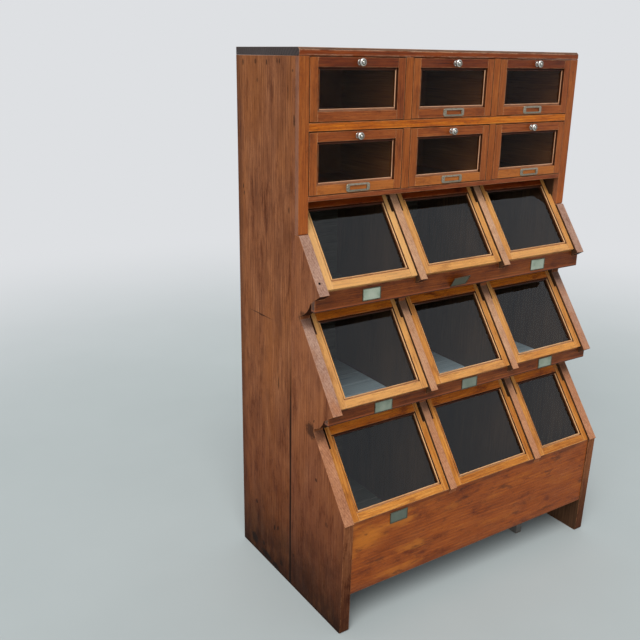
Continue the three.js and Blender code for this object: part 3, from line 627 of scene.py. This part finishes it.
def metal_material(name, colour, dull, low, high):
    graph, place = material(name)
    tarnish = graph.band(graph.noise(place, (240, 240, 240), 4.0, 0.65), 0.46, 0.68)
    return graph.finish(graph.add("BsdfPrincipled", {
        "Base Color": graph.tint(colour, tarnish, 0.7, dull), "Metallic": 1.0,
        "Roughness": graph.add("MapRange", {"Value": tarnish, "To Min": low, "To Max": high}),
        "Normal": graph.bump(0.15, 0.0003, graph.noise(place, (900, 240, 900), 2.0, 0.5))}))


def card_material():
    graph, place = material("card_paper")
    cloud = graph.noise(place, (26, 26, 26), 4.0, 0.6)
    colour = graph.ramp(cloud, [
        (0.25, rgb(108, 122, 104)), (0.5, rgb(158, 170, 150)), (0.8, rgb(184, 190, 172))])
    spots = graph.band(graph.noise(place, (110, 110, 110), 3.0, 0.6), 0.62, 0.72)
    colour = graph.tint(colour, spots, 0.45, rgb(118, 110, 82))
    colour = graph.mix(graph.attribute("shade", "Fac"), colour, rgb(62, 72, 62))
    return graph.finish(graph.add("BsdfPrincipled", {
        "Base Color": colour, "Roughness": 0.45,
        "Normal": graph.bump(0.2, 0.0002, graph.noise(place, (900, 900, 900), 2.0, 0.5))}))


LIT_WOOD = rgb(208, 126, 52)
SIDE = side_material()
STILE = stile_material()
DIVIDER = divider_material()
RAIL = rail_material("rail_wood", ORANGE_TONES)
NOSE_RAIL = rail_material("thin_rail_wood", NOSE_RAIL_TONES)
FASCIA = fascia_material()
PLINTH = plinth_material()
TOP = top_material()
BACK = back_material()
FLOOR = plain_wood("bin_floor_wood", FLOOR_TONES, "X", 13.0, 0.8)
BOX = plain_wood("drawer_box_wood", BOX_TONES, "Y", 14.0)
PALE_FLOOR = plain_wood("pale_bin_floor_wood", PALE_FLOOR_TONES, "X", 13.5, 0.8)
LID = member_material("lid_frame_wood", LID_TONES, 15.0, 0.32, 0.52, rgb(242, 194, 130), 0.45, 0.7,
                      rgb(226, 176, 128))
LID_BEAD = member_material("lid_bead_wood", LID_BEAD_TONES, 16.0, 0.34, 0.52, rgb(236, 190, 132))
DRAWER = member_material("drawer_front_wood", DRAWER_TONES, 17.0, 0.34, 0.54, LIT_WOOD, 0.55, 0.8,
                         rgb(206, 150, 104))
DRAWER_BEAD = member_material("drawer_bead_wood", BEAD_TONES, 18.0, 0.34, 0.52, rgb(220, 170, 130))
LID_TOP = member_material("lid_top_rail_wood", ORANGE_TONES, 20.0, 0.34, 0.54, LIT_WOOD, 0.9)
# Dark wood painted on the walls of grooves and of the gaps round frames, as their shade
GROOVE_SHADE = member_material("groove_painted_shade", GROOVE_SHADE_TONES, 19.0, 0.4, 0.6, rgb(120, 70, 40), 0.3, 0.0)
LID_GLASS = glass_material("lid_glass", 1.46)
DRAWER_GLASS = glass_material("drawer_glass", 1.2)
NICKEL = metal_material("nickel_plate", rgb(222, 220, 214), rgb(112, 104, 90), 0.14, 0.40)
AGED_NICKEL = metal_material("aged_nickel_plate", rgb(168, 158, 140), rgb(96, 84, 66), 0.28, 0.55)
DARK_METAL = metal_material("dark_metal_plate", rgb(112, 106, 90), rgb(56, 50, 40), 0.35, 0.6)
STEEL = metal_material("steel_pin", rgb(150, 146, 140), rgb(84, 74, 64), 0.3, 0.6)
CARD = card_material()


# Meshes
AXIS_ORDER = [(0, 1, 2), (1, 0, 2), (2, 0, 1)]
GRAIN_STEP = (1.93, 0.57, 0.31)


class Piece:
    """A mesh made of closed shells, each with its own grain coordinates and shade."""

    def __init__(self, name, *materials):
        self.name = name
        self.materials = materials
        self.points = []
        self.faces = []
        self.slots = []
        self.grain = []
        self.shade = []

    def shell(self, points, faces, place, seed=0.0, shade=0.0, slot=0, along=0):
        """points are local millimetres, place puts one in the part's frame, along is the grain's axis."""
        start = len(self.points)
        for point in points:
            self.points.append(place(*point))
            self.grain += [point[i] * MM + seed * step for i, step in zip(AXIS_ORDER[along], GRAIN_STEP)]
            self.shade.append(shade)
        for face in faces:
            self.faces.append([start + i for i in face])
        self.slots += slot if isinstance(slot, list) else [slot] * len(faces)

    def build(self, body, replaces=(), bevel=0.0):
        mesh = bpy.data.meshes.new(self.name)
        mesh.from_pydata([tuple(point) for point in self.points], [], self.faces)
        mesh.attributes.new("grain", "FLOAT_VECTOR", "POINT").data.foreach_set("vector", self.grain)
        mesh.attributes.new("shade", "FLOAT", "POINT").data.foreach_set("value", self.shade)
        for finish in self.materials:
            mesh.materials.append(finish)
        mesh.polygons.foreach_set("material_index", self.slots)
        work = bmesh.new()
        work.from_mesh(mesh)
        bmesh.ops.recalc_face_normals(work, faces=work.faces)
        work.to_mesh(mesh)
        work.free()
        piece = bpy.data.objects.new(self.name, mesh)
        bpy.context.scene.collection.objects.link(piece)
        if bevel:
            round_edges(piece, bevel, 40)
        mesh.polygons.foreach_set("use_smooth", [True] * len(mesh.polygons))
        weighted = piece.modifiers.new("normals", "WEIGHTED_NORMAL")
        weighted.keep_sharp = True
        weighted.mode = "FACE_AREA"
        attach(piece, body)
        if replaces:
            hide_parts(*replaces)


def round_edges(piece, width, angle):
    rounding = piece.modifiers.new("rounding", "BEVEL")
    rounding.width = width * MM
    rounding.segments = 2
    rounding.limit_method = "ANGLE"
    rounding.angle_limit = math.radians(angle)
    rounding.harden_normals = False
    return rounding


def prism(outline, low, high):
    """Points and faces of an outline in (x, y) drawn up along z."""
    count = len(outline)
    points = [(x, y, low) for x, y in outline] + [(x, y, high) for x, y in outline]
    faces = [list(range(count))[::-1], list(range(count, 2 * count))]
    return points, faces + wall(count)


def wall(count):
    """Faces between two equal loops of points, the second listed after the first."""
    return [[i, (i + 1) % count, count + (i + 1) % count, count + i] for i in range(count)]


def lathe(profile, segments, scallop=0.0, lobes=0):
    """Points and faces of a profile (radius, along) turned round z; its ends lie on the axis."""
    points = [(0, 0, profile[0][1])]
    rings = profile[1:-1]
    for radius, along in rings:
        for k in range(segments):
            turn = 2 * math.pi * k / segments
            reach = radius * (1 - scallop * (1 - math.cos(lobes * turn)) / 2)
            points.append((reach * math.cos(turn), reach * math.sin(turn), along))
    points.append((0, 0, profile[-1][1]))
    faces = []
    for k in range(segments):
        following = (k + 1) % segments
        faces.append([0, 1 + following, 1 + k])
        for ring in range(len(rings) - 1):
            base = 1 + ring * segments
            faces.append([base + k, base + following, base + segments + following, base + segments + k])
        base = 1 + (len(rings) - 1) * segments
        faces.append([base + k, base + following, len(points) - 1])
    return points, faces


def rounded_rectangle(width, height, radius, steps=5):
    points = []
    for corner_x, corner_y, start in ((1, 1, 0), (-1, 1, 90), (-1, -1, 180), (1, -1, 270)):
        for k in range(steps + 1):
            turn = math.radians(start + 90 * k / steps)
            points.append((
                corner_x * (width / 2 - radius) + radius * math.cos(turn),
                corner_y * (height / 2 - radius) + radius * math.sin(turn)))
    return points


def ring(levels):
    """A closed ring through rounded rectangles, each (width, height, corner radius, rise)."""
    outlines = [rounded_rectangle(*level[:3]) for level in levels]
    count = len(outlines[0])
    points = [(x, y, level[3]) for outline, level in zip(outlines, levels) for x, y in outline]
    faces = [[(i + base) % len(points) for i in face]
             for base in range(0, len(points), count) for face in wall(count)]
    return points, faces


# Glazed frames: flat members with a bead stuck along the pane
ARC_STEPS = 6
MOULDING = 8
REBATE = 6
PANE_DEPTH = 10
FRAME_THICKNESS = 20
STRIP_THICKNESS = 19.6
JOINT_STEP = 0.25
EDGE_ROUNDING = 0.9
# Finishes: FLAT the member's wood, BEAD pale wood with a painted highlight, DARK painted shade, UPPER the
# lids' top rails
FLAT, BEAD, DARK, UPPER = range(4)
# What the bead and its groove look like at the bottom, right, top and left of a pane, where DARK is
# painted shade
STRIP_FINISHES = [
    {BEAD: BEAD, DARK: BEAD, FLAT: FLAT}, {BEAD: BEAD, DARK: DARK, FLAT: FLAT},
    {BEAD: DARK, DARK: DARK, FLAT: FLAT}, {BEAD: FLAT, DARK: FLAT, FLAT: FLAT},
]


def bead_profile(quirk_width, quirk_depth, drop):
    """Section of the moulding: across from the flat member, height over its face, and finish."""
    radius = (MOULDING - quirk_width) / 2
    centre = MOULDING - radius
    shoulder = -drop - radius
    points = [(0, -quirk_depth, DARK), (quirk_width, -quirk_depth, DARK), (quirk_width, shoulder, BEAD)]
    for k in range(1, ARC_STEPS + 1):
        turn = math.pi * (1 - k / ARC_STEPS)
        points.append((centre + radius * math.cos(turn), shoulder + radius * math.sin(turn), BEAD))
    points[-1] = (*points[-1][:2], DARK)
    return points + [(MOULDING, -PANE_DEPTH, DARK), (MOULDING - REBATE, -PANE_DEPTH, DARK),
                     (MOULDING - REBATE, -STRIP_THICKNESS, DARK), (0, -STRIP_THICKNESS, FLAT)]


def mitred_strips(piece, profile, sight, place, seed, shades):
    """Four strips round the flat rectangle sight = (left, low, right, high), mitred at its corners."""
    left, low, right, high = sight
    count = len(profile)
    sides = [
        lambda d, w, end: ((left + d, right - d)[end], low + d, w),
        lambda d, w, end: (right - d, (low + d, high - d)[end], w),
        lambda d, w, end: ((left + d, right - d)[end], high - d, w),
        lambda d, w, end: (left + d, (low + d, high - d)[end], w),
    ]
    for k, side in enumerate(sides):
        points = [side(d, w, end) for end in (0, 1) for d, w, _ in profile]
        faces = [list(range(count)), list(range(count, 2 * count))] + wall(count)
        finishes = [BEAD, BEAD] + [STRIP_FINISHES[k][finish] for _, _, finish in profile]
        piece.shell(points, faces, place, seed + 0.7 * k, shades[k], finishes, along=k % 2)


def glazed_frame(piece, place, sizes, seed, shades):
    """Stiles run through, rails stand between them a hair lower. shades: bottom, right, top, left."""
    half = sizes["width"] / 2
    length = sizes["length"]
    flat_low = sizes["bottom"] - MOULDING
    flat_high = sizes["top"] - MOULDING
    notch_width, notch_length = sizes.get("notch", (0, 0))
    inner = half - sizes["stile"] + MOULDING
    for k, (way, shade) in enumerate(((-1, shades[3]), (1, shades[1]))):
        outline = [(way * inner, 0), (way * half, 0)]
        if notch_width:
            cheek = half - notch_width
            outline += [(way * half, length - notch_length), (way * cheek, length - notch_length),
                        (way * cheek, length)]
        else:
            outline.append((way * half, length))
        outline.append((way * inner, length))
        # All but the bottom end of a stile's edges take DARK: painted shade of the gaps round the frame
        finishes = [FLAT, FLAT, FLAT] + [DARK] * (len(outline) - 1)
        piece.shell(*prism(outline, -FRAME_THICKNESS, 0), place, seed + k * 2.3, shade, finishes, along=1)
    for k, (low, high, shade, finish) in enumerate((
            (0, flat_low, shades[0], FLAT), (length - flat_high, length, shades[2], sizes["top_finish"]))):
        outline = [(-inner, low), (inner, low), (inner, high), (-inner, high)]
        piece.shell(*prism(outline, JOINT_STEP - FRAME_THICKNESS, -JOINT_STEP), place,
                    seed + 5.1 + k * 1.7, shade, finish)
    sight = (-inner, flat_low, inner, length - flat_high)
    mitred_strips(piece, sizes["profile"], sight, place, seed + 9.0, sizes["bead_shades"])


LID_PROFILE = bead_profile(3.6, 6, 0.6)
DRAWER_PROFILE = bead_profile(4.6, 8.5, 4.6)
# Shade of a row's lids and of their top rails: upper rows paler as a painted sheen, the first row's top
# rails in painted shadow under the board above; the lids after the first are darker
LID_ROW_SHADES = {1: (0.95, -1.0), 2: (0.5, 0.1), 3: (-0.2, -0.1)}
LATER_COLUMN_DROPS = {1: 0.55, 2: 0.3, 3: 0.0}
TILTS = [0.25, 0.0, -0.15, 0.1]
PIN_REACH = 14
PIN_SETDOWN = 14
PIN_SEGMENTS = 20
PIN_PROFILE = [(0, 0), (3.4, 0), (4, 0.6), (4, 29.2), (3.2, 30), (0, 30)]


def lid(row, column):
    label = f"r{row}c{column}"
    low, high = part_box(f"lid_frame_{label}")
    foot = Vector(((low.x + high.x) / 2, low.y, low.z + FRAME_THICKNESS * MM * UP.y))
    length = (high.z - foot.z) / UP.z / MM
    width = (high.x - low.x) / MM - 2 * PIN_REACH

    def place(x, y, z):
        return foot + ACROSS * (x * MM) + UP * (y * MM) + OFF * (z * MM)

    tilt = TILTS[(row + column) % len(TILTS)]
    base, top_shade = LID_ROW_SHADES[row]
    if column > 1:
        base -= LATER_COLUMN_DROPS[row]
    piece = Piece(f"lid_{label}", LID, LID_BEAD, GROOVE_SHADE, LID_TOP)
    # The bottom and right-hand beads are paler: a painted highlight
    glazed_frame(piece, place, {
        "width": width, "length": length, "stile": 32, "bottom": 33, "top": 36, "notch": (8, 70),
        "profile": LID_PROFILE, "bead_shades": (0.3, 0.7, 0.0, base), "top_finish": UPPER,
    }, row * 5.3 + column * 2.9, (base + tilt, base, top_shade, base + 0.2 - tilt))
    piece.build(f"lid_{label}", [f"lid_frame_{label}"], bevel=EDGE_ROUNDING)
    pins = Piece(f"lid_pins_{label}", STEEL)
    for way in (-1, 1):
        def pin_place(x, y, z, way=way):
            reach = width / 2 + PIN_REACH - z
            return place(way * reach, length - PIN_SETDOWN + y, -FRAME_THICKNESS / 2 + x)
        pins.shell(*lathe(PIN_PROFILE, PIN_SEGMENTS), pin_place)
    pins.build(f"lid_{label}")


# The knob's section from its plate outwards, and the rings of its dark recess
KNOB_PROFILE = [
    (0, 0.3), (8.6, 0.3), (9.0, 0.8), (9.0, 1.6), (8.2, 2.3), (5.4, 2.6), (4.6, 4.0), (4.5, 7.0),
    (5.6, 9.2), (9.6, 10.8), (12.0, 12.6), (12.5, 14.4), (12.3, 16.4), (11.2, 18.6), (9.4, 20.2),
    (8.0, 20.6), (7.4, 20.0), (6.2, 19.4), (5.2, 19.5), (4.8, 20.4), (4.2, 21.4), (2.4, 22.1), (0, 22.3),
]
KNOB_RECESS = range(14, 18)
KNOB_SEGMENTS = 48
SCREW_PROFILE = [(0, -0.5), (2.6, -0.5), (2.7, 0.3), (2.2, 0.9), (1.2, 1.25), (0, 1.35)]
SCREW_SEGMENTS = 16
SCREW_REACH = 39.5
SCREW_HEIGHT = 1.5
# Card holders: middle in the source's x, and height over the front's lower edge
HOLDER_PLACES = {(1, 2): 592, (1, 3): 958, (2, 1): 217, (2, 2): 602, (2, 3): 971}
HOLDER_RISE = {1: 15.5, 2: 14.5}
HOLDER_LEVELS = [
    (90, 26, 8, -0.2), (90, 26, 8, 0.9), (88.4, 24.4, 7.4, 1.7), (70, 18, 3, 1.5),
    (68.8, 16.8, 2.6, 2.9), (66, 14, 1.6, 2.9), (65, 13, 1.2, 2.0), (65, 13, 1.2, -0.2),
]


def drawer_shades(row, column):
    """Bottom rail, right stile, top rail, left stile: the upper row's top rails are darker, painted shade
    under the top board.
    """
    if row == 1:
        return (0.05, 0.1 - 0.3 * (column % 2), -0.8, 0.25)
    return (0.85, 0.15, 0.0, 0.2)


def drawer(row, column):
    label = f"r{row}c{column}"
    low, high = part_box(f"drawer_front_{label}")
    origin = Vector(((low.x + high.x) / 2, low.y, low.z))

    def place(x, y, z):
        return origin + Vector((x, -z, y)) * MM

    piece = Piece(f"drawer_front_frame_{label}", DRAWER, DRAWER_BEAD, GROOVE_SHADE)
    # The bottom and right-hand beads are paler: a painted highlight
    glazed_frame(piece, place, {
        "width": (high.x - low.x) / MM, "length": (high.z - low.z) / MM, "stile": 36, "bottom": 36,
        "top": 36, "profile": DRAWER_PROFILE, "bead_shades": (0.4, 0.5, 0.0, -0.2), "top_finish": FLAT,
    }, 40 + row * 4.7 + column * 3.1, drawer_shades(row, column))
    piece.build(f"drawer_{label}", [f"drawer_front_{label}"], bevel=EDGE_ROUNDING)

    def on_front(across, rise, out=0):
        return lambda x, y, z: Vector((across + x * MM, low.y - (z + out) * MM, rise + y * MM))

    knob_low, knob_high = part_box(f"drawer_knob_{label}")
    middle = (knob_low + knob_high) / 2
    knob = Piece(f"drawer_pull_{label}", NICKEL, DARK_METAL)
    rings = [int(k in KNOB_RECESS) for k in range(len(KNOB_PROFILE) - 3)]
    knob.shell(*lathe(KNOB_PROFILE, KNOB_SEGMENTS, 0.035, 12), on_front(middle.x, middle.z),
               slot=[0, *rings, 0] * KNOB_SEGMENTS)
    knob.build(f"drawer_{label}", [f"drawer_knob_{label}"])

    if (row, column) in HOLDER_PLACES:
        across = HOLDER_PLACES[row, column] * MM - SOURCE_X
        rise = low.z + HOLDER_RISE[row] * MM
        holder = Piece(f"card_holder_{label}", AGED_NICKEL)
        holder.shell(*ring(HOLDER_LEVELS), on_front(across, rise))
        for way in (-1, 1):
            screw_across = across + way * SCREW_REACH * MM
            holder.shell(*lathe(SCREW_PROFILE, SCREW_SEGMENTS), on_front(screw_across, rise, SCREW_HEIGHT))
        holder.build(f"drawer_{label}")


# Card plates under the lids: middle (x, z) in the source's millimetres, turn in degrees, darkness
# of the card, and how far the plate tips out at its top, in degrees
PLATE_PLACES = [
    ("fascia_1", "r3c1", 211, 1074, 0.0, 0.0, 0.0), ("fascia_1", "r3c2", 572, 1071, -2.0, 0.9, 34.0),
    ("fascia_1", "r3c3", 954, 1074, 0.5, 0.1, 0.0), ("fascia_2", "r4c1", 211, 724, 0.0, 0.45, 0.0),
    ("fascia_2", "r4c2", 579, 724, 0.6, 0.6, 0.0), ("fascia_2", "r4c3", 952, 724, 0.0, 0.3, 0.0),
    ("plinth", "r5c1", 217, 374, -0.5, 0.85, 0.0),
]
PLATE_HEIGHTS = {"fascia_1": 40, "fascia_2": 38, "plinth": 40}
CARD_WIDTH = 65
CARD_THICKNESS = 0.9
# The plinth leans: the front of its lower edge, and its height under the lids
PLINTH_FOOT_Y = -0.3193
PLINTH_TOP = 0.4


def plate_levels(height):
    return [(71, height + 1, 1.5, -0.2), (71, height + 1, 1.5, 1.2), (70, height, 1.2, 1.9),
            (66, height - 4, 0.8, 1.9), (65.4, height - 4.6, 0.6, 1.3), (65.4, height - 4.6, 0.6, -0.2)]


def card_plate(carrier, label, x, z, turn, darkness, tip):
    low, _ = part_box(carrier)
    height = PLATE_HEIGHTS[carrier]
    middle = Vector((x * MM - SOURCE_X, low.y, z * MM))
    lean = -math.radians(tip)
    if carrier == "plinth":
        depth = PLINTH_FOOT_Y - low.y
        rise = PLINTH_TOP - low.z
        middle.y = PLINTH_FOOT_Y - depth * (z * MM - low.z) / rise
        lean = math.atan2(-depth, rise)
    spin = Matrix.Rotation(math.radians(turn), 3, "Y") @ Matrix.Rotation(-lean, 3, "X")
    foot = Vector((0, 0, -height / 2)) * MM

    def place(px, py, pz):
        return middle + foot + spin @ (Vector((px, -pz, py)) * MM - foot)

    plate = Piece(f"card_plate_{label}", DARK_METAL, CARD)
    plate.shell(*ring(plate_levels(height)), place)
    card = rounded_rectangle(CARD_WIDTH, height - 5, 0.5, 2)
    plate.shell(*prism(card, 0.0, CARD_THICKNESS), place, shade=darkness, slot=1)
    plate.build("carcase")


FINISHES = {
    "side_left": SIDE, "side_right": SIDE, "stile_left": STILE, "stile_right": STILE,
    "top_board": TOP, "back_panel": BACK, "drawer_shelf": RAIL, "nose_shelf": NOSE_RAIL,
    "divider_1": DIVIDER, "divider_2": DIVIDER, "bin_divider_1": DIVIDER, "bin_divider_2": DIVIDER,
    "bin_floor_1": FLOOR, "bin_floor_2": PALE_FLOOR, "bin_floor_3": FLOOR, "fascia_1": FASCIA,
    "fascia_2": FASCIA, "plinth": PLINTH,
}
WELD_REACH = 0.00001
BOARD_ROUNDING = 0.8


def dress(name, node):
    finish = FINISHES.get(name)
    if name.startswith("drawer_box"):
        finish = BOX
    elif "_pane_" in name:
        finish = LID_GLASS if name.startswith("lid") else DRAWER_GLASS
    if finish is None:
        return
    for slot in node.material_slots:
        slot.material = finish
    if "_pane_" not in name:
        join = node.modifiers.new("joined", "WELD")
        join.merge_threshold = WELD_REACH
        flat = node.modifiers.new("flat", "DECIMATE")
        flat.decimate_type = "DISSOLVE"
        flat.angle_limit = math.radians(1)
        round_edges(node, BOARD_ROUNDING, 50).use_clamp_overlap = True


# Studio: name, way that the light travels, strength, spread in degrees, colour
LAMPS = [
    ("main", (0.42, 0.52, -1.0), 1.62, 34, (1.0, 0.985, 0.96)),
    ("fill", (0.75, 0.55, -0.42), 1.04, 50, (0.96, 0.98, 1.0)),
]
SOFT_LIGHT = (0.93, 0.96, 1.0, 1)
SOFT_STRENGTH = 0.42
LAMP_PLACE = (-3, -3, 4)
FLOOR_REACH = 14
# Distances between which the floor passes into the background
FADE_START, FADE_END = 1.6, 5.5


def make_studio():
    graph = Graph(bpy.data.worlds.new("studio"), "OutputWorld")
    seen = graph.math("MAXIMUM", *[graph.add("LightPath", output=kind)
                                   for kind in ("Is Camera Ray", "Is Glossy Ray")])
    seen = graph.math("MAXIMUM", seen, graph.add("LightPath", output="Is Transmission Ray"))
    soft = graph.add("Background", {"Color": SOFT_LIGHT, "Strength": SOFT_STRENGTH})
    shown = graph.add("Background", {"Color": BACKGROUND, "Strength": 1.0})
    bpy.context.scene.world = graph.finish(graph.add("MixShader", {0: seen, 1: soft, 2: shown}))

    for name, travel, strength, spread, colour in LAMPS:
        data = bpy.data.lights.new(name, "SUN")
        data.energy = strength
        data.angle = math.radians(spread)
        data.color = colour
        lamp = bpy.data.objects.new(name, data)
        bpy.context.scene.collection.objects.link(lamp)
        lamp.location = LAMP_PLACE
        lamp.visible_glossy = name == "main"
        lamp.rotation_euler = Vector(travel).to_track_quat("-Z", "Y").to_euler()

    graph, place = material("studio_floor")
    cloud = graph.noise(place, (0.7, 0.7, 0.7), 4.0, 0.6)
    ground = graph.add("BsdfPrincipled", {
        "Base Color": graph.mix(cloud, rgb(178, 187, 187), rgb(195, 203, 203)), "Roughness": 0.6,
        "Specular IOR Level": 0.2})
    far = graph.band(graph.length(place), FADE_START, FADE_END)
    far = graph.times(far, graph.add("LightPath", output="Is Camera Ray"))
    haze = graph.add("Emission", {"Color": BACKGROUND, "Strength": 1.0})
    mesh = bpy.data.meshes.new("floor")
    corners = [(-1, -1, 0), (1, -1, 0), (1, 1, 0), (-1, 1, 0)]
    mesh.from_pydata([Vector(corner) * FLOOR_REACH for corner in corners], [], [(0, 1, 2, 3)])
    mesh.materials.append(graph.finish(graph.add("MixShader", {0: far, 1: ground, 2: haze})))
    floor = bpy.data.objects.new("floor", mesh)
    bpy.context.scene.collection.objects.link(floor)


make_camera()
make_studio()
for node_name, cad_node in frame["nodes"].items():
    dress(node_name, cad_node)
for lid_row in (1, 2, 3):
    for lid_column in (1, 2, 3):
        lid(lid_row, lid_column)
for drawer_row in (1, 2):
    for drawer_column in (1, 2, 3):
        drawer(drawer_row, drawer_column)
for plate_place in PLATE_PLACES:
    card_plate(*plate_place)

bpy.context.scene.view_settings.view_transform = "Standard"
